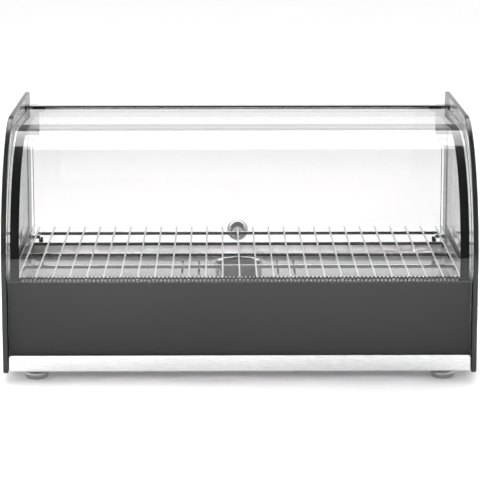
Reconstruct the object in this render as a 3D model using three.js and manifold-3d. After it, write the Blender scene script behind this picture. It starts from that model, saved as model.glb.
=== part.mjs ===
// A countertop hot food display case: two thick side panels, one curved front-and-roof pane, a heated
// base with a wire rack, and a glass rear door that hangs from pivots in the side panels.
//
// Frame: +X to the right seen from the front, +Y to the back, +Z up. The origin is on the ground,
// under the middle of the case with its door knob. Everything is in millimetres.
// Inside the `cabinet` group, y is the depth behind the side panels' front edges and z is the height
// above their bottom edges.
import * as THREE from "three";
import { mergeVertices } from "three/addons/utils/BufferGeometryUtils.js";
import Module from "manifold-3d";

const wasm = await Module();
wasm.setup();

// ---- Driving dimensions ----
const WIDTH = 554; // over the two side panels
const PANEL_DEPTH = 361;
const PANEL_HEIGHT = 285;
const FOOT_HEIGHT = 12;
const KNOB_REACH = 384; // from the side panels' front edges to the back of the door knob
const PANEL_THICKNESS = 6;
const PANEL_RADIUS = 172;
const CURVE_START = 120; // height where both curved fronts leave the vertical
const GLASS_THICKNESS = 5;
const GLASS_FRONT = 6.5; // depth of the front glass's outer face
const GLASS_RADIUS = 151.5; // of its outer face
const GLASS_BOTTOM = 2.6;
const GLASS_REAR = 345.7;
const ROOF_SLOPE = THREE.MathUtils.degToRad(1.1);
const SHEET = 1.2; // sheet metal
const GAP = 0.3; // left between pieces that touch
const INNER = WIDTH / 2 - PANEL_THICKNESS; // the side panels' inner faces
const BASE_BOTTOM = 0.8;
const DECK_TOP = 74;
const DECK_SIDE_TOP = 110;
const DECK_HALF = 268.1;
const TRAY_HALF = 269.9;
const TRAY_FRONT = 12.1;
const REAR_PANEL_Y = 345.3;
const REAR_PANEL_TOP = 84.7;
const REAR_FACE = REAR_PANEL_Y + SHEET;
const RACK_ROD_Y = [38, 108, 178, 248, 318];
const RACK_ROD_Z = 105;
const RACK_ROD_RADIUS = 2.25;
const RACK_WIRE_RADIUS = 1.2;
const RACK_WIRE_PITCH = 20;
const RACK_WIRE_COUNT = 27;
const RACK_WIRE_Y = [18, 344];
const RACK_WIRE_Z = RACK_ROD_Z + RACK_ROD_RADIUS + RACK_WIRE_RADIUS - 0.5;
const DOOR_AXIS = [352.5, 266]; // depth and height of the rear door's pivots
const DOOR_BOTTOM = 80;
const DOOR_TOP = 260;
const DOOR_HALF = 268;
const PIN_RADIUS = 2;
const KNOB_Z = 99;
const KNOB_RADIUS = 14;
const FOOT_X = 240;
const FOOT_Y = [28, 330];
const CUP_Y = 180;
const CONTROL_Z = 42;
const SWITCH_X = -190;
const LAMP_X = -152;
const DIAL_X = -100;
const GLAND_X = 205;
const SCREW_X = 264.2; // the rear panel's screws
const SCREW_Z = [15, 58];
const BUMPER_X = 258.5; // the rubber stops that the rear door closes against
const SWITCH_HALF = [9, 13]; // the switch body's half width and half height
const LAMP_RADIUS = 5.5;
const GLAND_RADIUS = 8; // of its thread

// ---- Materials ----
const paint = (color, roughness, metalness = 0, opacity = 1) =>
  new THREE.MeshStandardMaterial({ color, roughness, metalness, opacity, transparent: opacity < 1 });
const clearGlass = paint(0xe8f0ee, 0.05, 0, 0.3);
const panelGlass = paint(0x2b2c2e, 0.08, 0, 0.6);
const stainless = paint(0xc9cbcc, 0.35, 1);
const mirrorSteel = paint(0xd4d5d6, 0.15, 1);
const chrome = paint(0xdedede, 0.08, 1);
const blackPlastic = paint(0x1b1b1c, 0.45);
const rubber = paint(0x161616, 0.85);
const zinc = paint(0xa7a9a8, 0.45, 1);
const mineralBoard = paint(0xd8d2c4, 0.95);
const redLens = paint(0xb3281c, 0.2, 0, 0.85);
const nylon = paint(0xe6e4dd, 0.6);
const brass = paint(0xb39142, 0.35, 1);

// ---- Geometry helpers ----
// A closed geometry as a manifold-3d solid, with its shared vertices merged.
function solid(geometry) {
  const bare = new THREE.BufferGeometry().setAttribute("position", geometry.getAttribute("position"));
  if (geometry.index) bare.setIndex(geometry.index);
  const merged = mergeVertices(bare, 1e-3);
  return new wasm.Manifold(
    new wasm.Mesh({
      numProp: 3,
      vertProperties: merged.getAttribute("position").array,
      triVerts: new Uint32Array(merged.index.array),
    }),
  );
}

function geometryOf(body) {
  const mesh = body.getMesh();
  return new THREE.BufferGeometry()
    .setAttribute("position", new THREE.BufferAttribute(new Float32Array(mesh.vertProperties), 3))
    .setIndex(new THREE.BufferAttribute(new Uint32Array(mesh.triVerts), 1));
}

const join = (...geometries) =>
  geometryOf(geometries.map(solid).reduce((whole, next) => whole.add(next)));
const cut = (geometry, ...tools) =>
  geometryOf(tools.map(solid).reduce((whole, next) => whole.subtract(next), solid(geometry)));

const box = (x0, x1, y0, y1, z0, z1) =>
  new THREE.BoxGeometry(x1 - x0, y1 - y0, z1 - z0).translate(
    (x0 + x1) / 2,
    (y0 + y1) / 2,
    (z0 + z1) / 2,
  );

const polygon = (...points) => new THREE.Shape(points.map(([a, b]) => new THREE.Vector2(a, b)));

// An outline drawn in (y, z), extruded from x0 to x1.
function alongX(outline, x0, x1, curveSegments = 24) {
  const turn = new THREE.Matrix4().makeBasis(
    new THREE.Vector3(0, 1, 0),
    new THREE.Vector3(0, 0, 1),
    new THREE.Vector3(1, 0, 0),
  );
  return new THREE.ExtrudeGeometry(outline, { depth: x1 - x0, bevelEnabled: false, curveSegments })
    .applyMatrix4(turn)
    .translate(x0, 0, 0);
}

const TURN = { x: [0, 0, -Math.PI / 2], y: [0, 0, 0], z: [Math.PI / 2, 0, 0] };
const turned = (geometry, axis) => geometry.applyMatrix4(
  new THREE.Matrix4().makeRotationFromEuler(new THREE.Euler(...TURN[axis])),
);

// A round bar along one axis: `centre` holds the other two coordinates, in x, y, z order.
function bar(axis, radius, from, to, centre, sides = 16) {
  const [a, b] = centre;
  const middle = (from + to) / 2;
  const place = { x: [middle, a, b], y: [a, middle, b], z: [a, b, middle] }[axis];
  return turned(new THREE.CylinderGeometry(radius, radius, to - from, sides), axis).translate(...place);
}

// A turned piece: (radius, position along the axis) pairs, from one end to the other.
function turnedPiece(axis, profile, sides = 24) {
  const points = profile.map(([radius, along]) => new THREE.Vector2(radius, along));
  return turned(new THREE.LatheGeometry(points, sides), axis);
}

// ---- Scene graph helpers ----
const cabinet = new THREE.Group();
cabinet.position.set(0, -KNOB_REACH / 2, FOOT_HEIGHT);

function piece(name, geometry, material, [x, y, z] = [0, 0, 0], parent = cabinet) {
  const mesh = new THREE.Mesh(geometry, material);
  mesh.name = name;
  mesh.position.set(x, y, z);
  parent.add(mesh);
  return mesh;
}

const SIDES = { left: -1, right: 1 };
const ENDS = { front: 0, rear: 1 };

function forSides(make) {
  for (const [word, sign] of Object.entries(SIDES)) make(word, sign);
}

function forCorners(make) {
  forSides((side, sign) => {
    for (const [end, index] of Object.entries(ENDS)) make(`${end}_${side}`, sign, index);
  });
}

// ---- Side panels: a vertical front edge that bends over into a level top edge ----
function sidePanels() {
  const chamfer = 2.5;
  const arcEnd = THREE.MathUtils.degToRad(112);
  const centre = [PANEL_RADIUS, CURVE_START];
  const end = [
    centre[0] + PANEL_RADIUS * Math.cos(arcEnd),
    centre[1] + PANEL_RADIUS * Math.sin(arcEnd),
  ];
  // The blend's handle lies where the arc's tangent meets the top edge.
  const reach = (PANEL_HEIGHT - end[1]) / -Math.cos(arcEnd);
  const handle = end[0] + reach * Math.sin(arcEnd);
  const outline = new THREE.Shape();
  outline.moveTo(chamfer, 0);
  outline.lineTo(0, chamfer);
  outline.lineTo(0, CURVE_START);
  outline.absarc(...centre, PANEL_RADIUS, Math.PI, arcEnd, true);
  outline.quadraticCurveTo(handle, PANEL_HEIGHT, handle + reach, PANEL_HEIGHT);
  outline.lineTo(PANEL_DEPTH - chamfer, PANEL_HEIGHT);
  outline.lineTo(PANEL_DEPTH, PANEL_HEIGHT - chamfer);
  outline.lineTo(PANEL_DEPTH, chamfer);
  outline.lineTo(PANEL_DEPTH - chamfer, 0);
  outline.closePath();
  const bushRadius = 4.6;
  forSides((side, sign) => {
    const inner = sign > 0 ? INNER : -WIDTH / 2;
    const hole = bar("x", bushRadius + GAP, inner - 1, inner + PANEL_THICKNESS + 1, DOOR_AXIS);
    const panel = alongX(outline, inner, inner + PANEL_THICKNESS, 20);
    piece(`side_panel_${side}`, cut(panel, hole), panelGlass);
    const bush = bar("x", bushRadius, inner, inner + PANEL_THICKNESS, DOOR_AXIS);
    const bore = bar("x", PIN_RADIUS + GAP + 0.1, inner - 1, inner + PANEL_THICKNESS + 1, DOOR_AXIS, 12);
    piece(`pivot_bush_${side}`, cut(bush, bore), stainless);
  });
}

// ---- Front glass: one pane that rises, bends over and becomes the gently falling roof ----
function frontGlass() {
  const arcEnd = Math.PI / 2 - ROOF_SLOPE;
  const centre = [GLASS_FRONT + GLASS_RADIUS, CURVE_START];
  const innerRadius = GLASS_RADIUS - GLASS_THICKNESS;
  const roofEnd = (radius) => {
    const y = centre[0] + radius * Math.cos(arcEnd);
    const z = centre[1] + radius * Math.sin(arcEnd);
    return [GLASS_REAR, z - (GLASS_REAR - y) * Math.tan(ROOF_SLOPE)];
  };
  const outline = new THREE.Shape();
  outline.moveTo(GLASS_FRONT, GLASS_BOTTOM);
  outline.lineTo(GLASS_FRONT, CURVE_START);
  outline.absarc(...centre, GLASS_RADIUS, Math.PI, arcEnd, true);
  outline.lineTo(...roofEnd(GLASS_RADIUS));
  outline.lineTo(...roofEnd(innerRadius));
  outline.absarc(...centre, innerRadius, arcEnd, Math.PI, false);
  outline.lineTo(GLASS_FRONT + GLASS_THICKNESS, GLASS_BOTTOM);
  outline.closePath();
  const half = INNER - 0.7;
  piece("front_glass", alongX(outline, -half, half, 24), clearGlass);

  // The rail lies on the roof's rear edge and turns down behind it; a seal runs along its front.
  const roofTop = roofEnd(GLASS_RADIUS)[1];
  const lipTop = roofTop + 0.6 + SHEET;
  const lipFront = GLASS_REAR - 14.5;
  const web = GLASS_REAR + 0.5;
  const rail = polygon(
    [lipFront, lipTop - SHEET],
    [web, lipTop - SHEET],
    [web, lipTop - 7.6],
    [web + SHEET, lipTop - 7.6],
    [web + SHEET, lipTop],
    [lipFront, lipTop],
  );
  piece("rear_top_rail", alongX(rail, -half, half), stainless);
  const seal = box(-half, half, lipFront - GAP - 2, lipFront - GAP, roofTop + 0.65, roofTop + 2.6);
  piece("rear_rail_seal", seal, rubber);
}

// ---- Front trim strip: a channel that the foot of the front glass stands in ----
function frontStrip() {
  const face = GLASS_FRONT - GAP - SHEET;
  const top = 20.2;
  const back = TRAY_FRONT - GAP;
  const section = polygon(
    [face, BASE_BOTTOM + 1],
    [face + 1, BASE_BOTTOM],
    [back, BASE_BOTTOM],
    [back, BASE_BOTTOM + SHEET],
    [face + SHEET, BASE_BOTTOM + SHEET],
    [face + SHEET, top],
    [face, top],
  );
  piece("front_trim_strip", alongX(section, -INNER + 0.8, INNER - 0.8), stainless);
}

// ---- Base tray: an open shell that carries the deck on its top flanges ----
function baseTray() {
  const top = DECK_TOP - SHEET - GAP;
  const flange = 10;
  const rear = REAR_PANEL_Y - GAP;
  const inside = TRAY_HALF - SHEET;
  const shell = [
    box(-TRAY_HALF, TRAY_HALF, TRAY_FRONT, rear, BASE_BOTTOM, BASE_BOTTOM + SHEET),
    box(-TRAY_HALF, TRAY_HALF, TRAY_FRONT, TRAY_FRONT + SHEET, BASE_BOTTOM, top),
    box(-TRAY_HALF, TRAY_HALF, TRAY_FRONT, TRAY_FRONT + flange, top - SHEET, top),
  ];
  const holes = [];
  for (const sign of Object.values(SIDES)) {
    const [wall0, wall1] = [sign * inside, sign * TRAY_HALF].sort((a, b) => a - b);
    const [flange0, flange1] = [sign * (TRAY_HALF - flange), sign * TRAY_HALF].sort((a, b) => a - b);
    shell.push(box(wall0, wall1, TRAY_FRONT, rear, BASE_BOTTOM, top));
    shell.push(box(flange0, flange1, TRAY_FRONT, rear, top - SHEET, top));
    shell.push(box(flange0, flange1, rear - SHEET, rear, BASE_BOTTOM, top));
    for (const z of SCREW_Z) holes.push(bar("y", 2.3, rear - 3, rear + 1, [sign * SCREW_X, z], 12));
    for (const y of FOOT_Y) holes.push(bar("z", 3.4, BASE_BOTTOM - 1, BASE_BOTTOM + 3, [sign * FOOT_X, y]));
    for (let k = 0; k < 5; k++) {
      const x = sign * (90 + 22 * k);
      holes.push(box(x - 2.5, x + 2.5, 120, 180, BASE_BOTTOM - 1, BASE_BOTTOM + 3));
    }
  }
  piece("base_tray", cut(join(...shell), ...holes), stainless);
}

// ---- Rear panel: closes the base and carries the controls; its top hem covers the deck's rear lip ----
function rearPanel() {
  const hem = DECK_HALF - SHEET - 0.6;
  const sheet = join(
    box(-TRAY_HALF, TRAY_HALF, REAR_PANEL_Y, REAR_FACE, BASE_BOTTOM, REAR_PANEL_TOP),
    box(-hem, hem, REAR_PANEL_Y - 7, REAR_FACE, REAR_PANEL_TOP - SHEET, REAR_PANEL_TOP),
  );
  const through = [REAR_PANEL_Y - 1, REAR_FACE + 1];
  const [halfX, halfZ] = SWITCH_HALF.map((half) => half + GAP);
  const holes = [
    box(SWITCH_X - halfX, SWITCH_X + halfX, ...through, CONTROL_Z - halfZ, CONTROL_Z + halfZ),
    bar("y", LAMP_RADIUS + GAP, ...through, [LAMP_X, CONTROL_Z]),
    bar("y", 4.2, ...through, [DIAL_X, CONTROL_Z]),
    bar("y", GLAND_RADIUS + GAP, ...through, [GLAND_X, CONTROL_Z]),
  ];
  for (const sign of Object.values(SIDES))
    for (const z of SCREW_Z) holes.push(bar("y", 2.3, ...through, [sign * SCREW_X, z], 12));
  for (let k = 0; k < 8; k++) {
    const x = -30 + 24 * k;
    holes.push(box(x - 8, x + 8, ...through, 56, 59));
    holes.push(box(x - 8, x + 8, ...through, 26, 29));
  }
  piece("rear_panel", cut(sheet, ...holes), stainless);
  forSides((side, sign) => {
    SCREW_Z.forEach((z, index) => {
      const screw = turnedPiece("y", [[0, -9], [1.9, -9], [1.9, GAP], [3.6, GAP], [3.2, 2], [0, 2.4]], 12);
      const name = `rear_screw_${index ? "upper" : "lower"}_${side}`;
      piece(name, screw, zinc, [sign * SCREW_X, REAR_FACE, z]);
    });
    const bumper = join(
      box(-2.5, 2.5, REAR_FACE - 5, REAR_FACE, 0, 5),
      box(-2.5, 2.5, REAR_FACE, DOOR_AXIS[0] - GLASS_THICKNESS / 2 - GAP, 0, 9.5),
      box(-2.5, 2.5, REAR_FACE - 2, REAR_FACE, 0, 9.5),
    );
    piece(`door_bumper_${side}`, bumper, rubber, [sign * BUMPER_X, 0, REAR_PANEL_TOP + GAP]);
  });
}

// ---- Deck: the heated tray under the rack, with tall sides, a low rear lip and four long slots ----
function deck() {
  const [front, rear] = [14, REAR_PANEL_Y - 0.7];
  const floor = DECK_TOP - SHEET;
  const wall = DECK_HALF - SHEET;
  const tray = join(
    box(-DECK_HALF, DECK_HALF, front, rear, floor, DECK_TOP),
    box(-DECK_HALF, -wall, front, rear, floor, DECK_SIDE_TOP),
    box(wall, DECK_HALF, front, rear, floor, DECK_SIDE_TOP),
    box(-DECK_HALF, DECK_HALF, front, front + SHEET, floor, DECK_SIDE_TOP - 6),
    box(-DECK_HALF, DECK_HALF, rear - SHEET, rear, floor, REAR_PANEL_TOP - SHEET - GAP),
  );
  const slots = [-71, -50, 50, 71].map((x) => box(x - 1, x + 1, 205, 294, floor - 1, DECK_TOP + 1));
  piece("heated_deck", cut(tray, ...slots), mirrorSteel);

  // The rack's side wires rest on four studs.
  const radius = 3;
  const studZ = RACK_WIRE_Z - RACK_WIRE_RADIUS - GAP - radius;
  const studY = [RACK_ROD_Y[0] + 14, RACK_ROD_Y[4] - 14];
  forCorners((corner, sign, index) => {
    const stud = turnedPiece("x", [[0, 0], [3.8, 0], [3.8, 1.2], [radius, 1.2], [radius, 11], [0, 11]], 12);
    if (sign > 0) stud.rotateZ(Math.PI);
    piece(`rack_stud_${corner}`, stud, chrome, [sign * (wall - GAP), studY[index], studZ]);
  });
}

// ---- Rack: long wires welded across round rods whose ends turn down ----
function rack() {
  const rodHalf = 260.5;
  const hookBottom = RACK_ROD_Z - 4.4;
  const parts = [];
  for (const y of RACK_ROD_Y) {
    parts.push(bar("x", RACK_ROD_RADIUS, -rodHalf, rodHalf, [y, RACK_ROD_Z], 6));
    for (const sign of Object.values(SIDES)) {
      const top = RACK_ROD_Z + RACK_ROD_RADIUS - 0.6;
      parts.push(bar("z", RACK_ROD_RADIUS - 0.2, hookBottom, top, [sign * (rodHalf + 0.4), y], 6));
    }
  }
  const first = (-RACK_WIRE_PITCH * (RACK_WIRE_COUNT - 1)) / 2;
  for (let k = 0; k < RACK_WIRE_COUNT; k++) {
    const x = first + RACK_WIRE_PITCH * k;
    parts.push(bar("y", RACK_WIRE_RADIUS, ...RACK_WIRE_Y, [x, RACK_WIRE_Z], 6));
  }
  piece("wire_rack", join(...parts), chrome);
}

// ---- Water cup: a low open cup with a rolled-out rim ----
function waterCup() {
  const profile = [
    [0, 0], [28, 0], [29, 1], [29, 20], [33, 20.5], [33, 22], [27.5, 22], [27.5, 1.5], [0, 1.5],
  ];
  piece("water_cup", turnedPiece("z", profile, 32), mirrorSteel, [0, CUP_Y, DECK_TOP + GAP]);
}

// ---- Rear door: a glass flap, two clamps with pivot pins, and a ball knob ----
function rearDoor() {
  const door = new THREE.Group();
  door.position.set(0, ...DOOR_AXIS);
  cabinet.add(door);
  const half = GLASS_THICKNESS / 2;
  const knobZ = KNOB_Z - DOOR_AXIS[1];
  const [bottom, top] = [DOOR_BOTTOM, DOOR_TOP].map((z) => z - DOOR_AXIS[1]);
  const pane = box(-DOOR_HALF, DOOR_HALF, -half, half, bottom, top);
  const knobHole = bar("y", 3.4, -half - 1, half + 1, [0, knobZ]);
  piece("door_glass", cut(pane, knobHole), clearGlass, [0, 0, 0], door);

  // Each clamp is a slotted strap that ends in a round barrel about the pivot.
  const cheek = 1.8;
  const [clampInner, clampOuter] = [258.8, INNER - 0.7];
  const clampBottom = 222 - DOOR_AXIS[1];
  const outside = half + GAP + cheek;
  const block = join(
    box(clampInner, clampOuter, -outside, outside, clampBottom, 0),
    bar("x", outside, clampInner, clampOuter, [0, 0]),
  );
  const [slotEnd, slotHalf] = [DOOR_HALF + GAP + 0.1, half + GAP];
  const slot = box(clampInner - 1, slotEnd, -slotHalf, slotHalf, clampBottom - 1, top + GAP + 0.1);
  const pin = bar("x", PIN_RADIUS, clampOuter - 1, WIDTH / 2 - 1, [0, 0], 12);
  const clamp = geometryOf(solid(cut(block, slot)).add(solid(pin)));
  piece("hinge_clamp_right", clamp, zinc, [0, 0, 0], door);
  piece("hinge_clamp_left", clamp.clone().rotateZ(Math.PI), zinc, [0, 0, 0], door);

  // The ball and its neck in one profile, with a blind threaded hole for the screw.
  const ballCentre = KNOB_REACH - DOOR_AXIS[0] - KNOB_RADIUS;
  const neck = 6.5;
  const start = half + GAP;
  const neckAngle = Math.asin(neck / KNOB_RADIUS);
  const profile = [
    [0, start + 10], [2.9, start + 10], [2.9, start], [8, start], [8, start + 1], [neck, start + 1.6],
  ];
  const steps = 9;
  for (let k = 0; k <= steps; k++) {
    const angle = Math.PI - neckAngle - ((Math.PI - neckAngle) * k) / steps;
    profile.push([KNOB_RADIUS * Math.sin(angle), ballCentre + KNOB_RADIUS * Math.cos(angle)]);
  }
  piece("door_knob", turnedPiece("y", profile, 20), chrome, [0, 0, knobZ], door);

  const disc = bar("y", 8, -half - GAP - 1, -half - GAP, [0, 0], 20);
  const washer = cut(disc, bar("y", 3, -half - 3, 0, [0, 0]));
  piece("door_knob_washer", washer, rubber, [0, 0, knobZ], door);
  const head = -half - 2 * GAP - 1;
  const screw = turnedPiece(
    "y",
    [
      [0, head - 2.6], [3.5, head - 2.6], [5.2, head - 1], [5.2, head],
      [2.6, head], [2.6, start + 9], [0, start + 9],
    ],
    16,
  );
  piece("door_knob_screw", screw, chrome, [0, 0, knobZ], door);
}

// ---- Feet: chromed discs on studs, each with a rubber pad let into it and a nut inside the tray ----
function feet() {
  const padTop = -FOOT_HEIGHT + 1.8;
  const padRadius = 9.8;
  const discBottom = -FOOT_HEIGHT + 0.6;
  forCorners((corner, sign, index) => {
    const place = [sign * FOOT_X, FOOT_Y[index], 0];
    const disc = [
      [0, padTop + GAP], [padRadius + GAP, padTop + GAP], [padRadius + GAP, discBottom], [12, discBottom],
      [13.6, -9.2], [14.2, -6.8], [14.2, -3.4], [13.2, -1.8], [6, -1.4], [6, BASE_BOTTOM - GAP],
      [3, BASE_BOTTOM - GAP], [3, 12], [0, 12],
    ];
    piece(`foot_${corner}`, turnedPiece("z", disc), chrome, place);
    const pad = turnedPiece(
      "z",
      [[0, -FOOT_HEIGHT], [padRadius, -FOOT_HEIGHT], [padRadius, padTop], [0, padTop]],
    );
    piece(`foot_pad_${corner}`, pad, rubber, place);
    const nutBottom = BASE_BOTTOM + SHEET + GAP;
    const nut = cut(
      bar("z", 5.8, nutBottom, nutBottom + 5, [0, 0], 6),
      bar("z", 3 + GAP, nutBottom - 1, nutBottom + 6, [0, 0]),
    );
    piece(`foot_nut_${corner}`, nut, zinc, place);
  });
}

// ---- Under the deck: two hairpin heaters, the insulation board and the temperature bulb ----
function heating() {
  const radius = 4;
  const z = DECK_TOP - SHEET - GAP - radius;
  const bend = 30;
  const run = 215;
  for (const [end, y] of [["front", 90], ["rear", 255]]) {
    const path = new THREE.CurvePath();
    const corner = (x, side) => new THREE.Vector3(x, y + side * bend, z);
    path.add(new THREE.LineCurve3(corner(-run, -1), corner(run - bend, -1)));
    const handle = bend * 1.33;
    path.add(new THREE.CubicBezierCurve3(
      corner(run - bend, -1),
      corner(run - bend + handle, -1),
      corner(run - bend + handle, 1),
      corner(run - bend, 1),
    ));
    path.add(new THREE.LineCurve3(corner(run - bend, 1), corner(-run, 1)));
    const section = polygon(...Array.from({ length: 6 }, (_, k) => {
      const angle = ((k + 0.5) * Math.PI) / 3;
      return [radius * Math.cos(angle), radius * Math.sin(angle)];
    }));
    const tube = new THREE.ExtrudeGeometry(section, { extrudePath: path, steps: 30, bevelEnabled: false });
    piece(`heater_${end}`, tube, zinc);
  }
  piece("insulation_board", box(-250, 250, 30, 300, 50, 60), mineralBoard);
  piece("temperature_bulb", bar("x", 3, -40, 40, [172, DECK_TOP - SHEET - GAP - 3], 12), brass);
}

// ---- Controls: thermostat, rocker switch and pilot lamp behind the rear panel ----
function controls() {
  const inside = REAR_PANEL_Y - GAP;
  const outside = REAR_FACE + GAP;
  const shaftEnd = outside + 11;
  const thermostat = join(
    box(-18, 18, inside - 34, inside, -16, 16),
    bar("y", 3, inside - 1, shaftEnd, [0, 0]),
  );
  piece("thermostat_body", thermostat, zinc, [DIAL_X, 0, CONTROL_Z]);
  const disc = bar("y", 24, outside, outside + 1, [0, 0], 32);
  const ring = cut(disc, bar("y", 5, outside - 1, outside + 2, [0, 0]));
  piece("thermostat_dial_ring", ring, stainless, [DIAL_X, 0, CONTROL_Z]);
  const base = outside + 1 + GAP;
  const knob = [
    [0, base + 10.4], [3 + GAP, base + 10.4], [3 + GAP, base], [18, base], [18, base + 3],
    [14.5, base + 4.5], [13.5, base + 17], [12.5, base + 18], [0, base + 18],
  ];
  const pointer = box(-1.2, 1.2, base + 4, base + 18.6, 8, 15.6);
  piece("thermostat_knob", join(turnedPiece("y", knob), pointer), blackPlastic, [DIAL_X, 0, CONTROL_Z]);

  const [halfX, halfZ] = SWITCH_HALF;
  const housing = cut(
    join(
      box(-halfX, halfX, inside - 20, outside + 1, -halfZ, halfZ),
      box(-halfX - 2, halfX + 2, outside, outside + 2, -halfZ - 2, halfZ + 2),
      box(-5, -4, inside - 28, inside - 19, -8, -3),
      box(4, 5, inside - 28, inside - 19, -8, -3),
    ),
    box(-7.2, 7.2, outside - 10, outside + 3, -11.5, 11.5),
  );
  piece("switch_housing", housing, blackPlastic, [SWITCH_X, 0, CONTROL_Z]);
  // The rocker's two faces meet in a shallow V; at rest its lower end is pressed in.
  const rocker = polygon([-3, -4], [2.5, -10.2], [6.5, -10.2], [3.6, 0], [6.5, 10.2], [2.5, 10.2], [-3, 4]);
  const tilt = new THREE.Group();
  tilt.position.set(SWITCH_X, outside - 3, CONTROL_Z);
  tilt.rotation.x = THREE.MathUtils.degToRad(-7);
  cabinet.add(tilt);
  piece("switch_rocker", alongX(rocker, -6.7, 6.7), blackPlastic, [0, 0, 0], tilt);

  const lampBody = bar("y", LAMP_RADIUS, inside - 16, outside - GAP, [0, 0]);
  piece("pilot_lamp_body", lampBody, blackPlastic, [LAMP_X, 0, CONTROL_Z]);
  const lens = turnedPiece(
    "y",
    [[0, outside], [7.5, outside], [7.5, outside + 1.5], [5.5, outside + 3.5], [0, outside + 4]],
    20,
  );
  piece("pilot_lamp_lens", lens, redLens, [LAMP_X, 0, CONTROL_Z]);
}

// ---- Supply: terminal block, and the cable gland with its nut on the rear panel ----
function supply() {
  const block = join(
    box(-22, 22, -9, 9, 0, 10),
    ...[-16, 0, 16].map((x) => box(x - 5, x + 5, -6, 6, 9, 17)),
  );
  piece("terminal_block", block, nylon, [GLAND_X, 312, BASE_BOTTOM + SHEET + GAP]);
  const outside = REAR_FACE + GAP;
  const bore = bar("y", 4, REAR_PANEL_Y - 20, outside + 30, [0, 0]);
  const gland = cut(
    join(
      bar("y", GLAND_RADIUS, REAR_PANEL_Y - 10, outside + 1, [0, 0], 20),
      bar("y", 11.5, outside, outside + 5, [0, 0], 6),
      turnedPiece(
        "y",
        [[0, outside + 4], [9.5, outside + 4], [10, outside + 12], [7, outside + 18], [0, outside + 18]],
        20,
      ),
    ),
    bore,
  );
  piece("cable_gland", gland, blackPlastic, [GLAND_X, 0, CONTROL_Z]);
  const inside = REAR_PANEL_Y - GAP;
  const nut = cut(
    bar("y", 12, inside - 5, inside, [0, 0], 6),
    bar("y", GLAND_RADIUS + GAP, inside - 6, inside + 1, [0, 0], 20),
  );
  piece("cable_gland_nut", nut, blackPlastic, [GLAND_X, 0, CONTROL_Z]);
}

sidePanels();
frontGlass();
frontStrip();
baseTray();
rearPanel();
deck();
rack();
waterCup();
rearDoor();
feet();
heating();
controls();
supply();

const group = new THREE.Group();
group.add(cabinet);

export default group;
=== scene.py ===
"""The looks of a countertop hot food display case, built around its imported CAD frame.

Lengths in this script are millimetres in the cabinet's own frame, as in the CAD: x to the right, d the
depth behind the side panels' front edges, h the height above their bottom edges. place() turns them
into metres in the row frame.
"""

import math

import bmesh
import bpy
from mathutils import Matrix, Vector
from mathutils.geometry import tessellate_polygon


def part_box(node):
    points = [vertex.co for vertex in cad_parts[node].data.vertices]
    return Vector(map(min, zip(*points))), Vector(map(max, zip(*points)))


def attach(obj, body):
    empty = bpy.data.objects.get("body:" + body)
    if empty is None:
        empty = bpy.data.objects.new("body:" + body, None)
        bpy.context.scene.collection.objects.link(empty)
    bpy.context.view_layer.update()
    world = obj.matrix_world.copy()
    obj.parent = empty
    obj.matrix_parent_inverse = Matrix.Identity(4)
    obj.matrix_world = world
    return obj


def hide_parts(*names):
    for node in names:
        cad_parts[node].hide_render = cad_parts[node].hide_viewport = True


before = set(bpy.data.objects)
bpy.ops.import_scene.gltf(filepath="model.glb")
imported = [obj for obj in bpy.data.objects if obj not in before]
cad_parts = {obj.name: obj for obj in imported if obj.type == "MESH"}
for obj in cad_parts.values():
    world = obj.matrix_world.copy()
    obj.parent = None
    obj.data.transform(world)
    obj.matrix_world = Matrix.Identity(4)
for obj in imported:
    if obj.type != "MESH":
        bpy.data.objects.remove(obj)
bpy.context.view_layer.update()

MM = 0.001
PANEL_LOW, PANEL_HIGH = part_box("side_panel_right")
FRONT_Y = PANEL_LOW.y
BASE_Z = PANEL_LOW.z


def place(x, d, h):
    """A point of the cabinet's frame, in metres in the row frame."""
    return Vector((x * MM, FRONT_Y + d * MM, BASE_Z + h * MM))


def cabinet_box(node):
    """A CAD node's lowest and highest corners in the cabinet's frame, in millimetres."""
    lo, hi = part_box(node)
    shift = Vector((0, FRONT_Y, BASE_Z))
    return (lo - shift) / MM, (hi - shift) / MM


# ---- Sizes read from the frame, and the few that only the looks need ----
WIDTH_HALF = PANEL_HIGH.x / MM
INNER = PANEL_LOW.x / MM
PANEL_DEPTH = (PANEL_HIGH.y - PANEL_LOW.y) / MM
PANEL_HEIGHT = (PANEL_HIGH.z - PANEL_LOW.z) / MM
PANEL_RADIUS = 172
CURVE_START = 120
GLASS_LOW, GLASS_HIGH = cabinet_box("front_glass")
GLASS_HALF = GLASS_HIGH.x
GLASS_FRONT = GLASS_LOW.y
GLASS_REAR = GLASS_HIGH.y
GLASS_BOTTOM = GLASS_LOW.z
GLASS_THICKNESS = 5
GLASS_RADIUS = 151.5
GLASS_RISE = CURVE_START - GLASS_BOTTOM  # its upright part
ROOF_SLOPE = math.radians(1.1)
GLASS_SWEEP = math.pi / 2 + ROOF_SLOPE
DOOR_LOW, DOOR_HIGH = cabinet_box("door_glass")
DOOR_HALF = DOOR_HIGH.x
DECK_LOW, DECK_HIGH = cabinet_box("heated_deck")
REAR_LOW, REAR_HIGH = cabinet_box("rear_panel")
RACK_LOW, RACK_HIGH = cabinet_box("wire_rack")
PRINT_TOP = 107.2  # where the solid print ends and its dots begin
PRINT_RIM = 4.9  # from there up to the foot of the scallops
FILM_INSET = 0.25  # how deep the print lies in the glass, from its inner face
STRIPE_WIDTH = 10.4
STRIPE_MARGIN = 3
REAR_BAND = 0.5  # how far the printed corners reach in front of the rear rail's seal
SEAL_LOW, SEAL_HIGH = cabinet_box("rear_rail_seal")
DOT_PITCH = 4.6
SHEET = 1.2
PIVOT = (352.5, 266)  # depth and height of the rear door's pivots
PIN_RADIUS = 2
BUSH_RADIUS = 4.6
DECK_TOP = 74
DECK_HALF = DECK_HIGH.x
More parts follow.
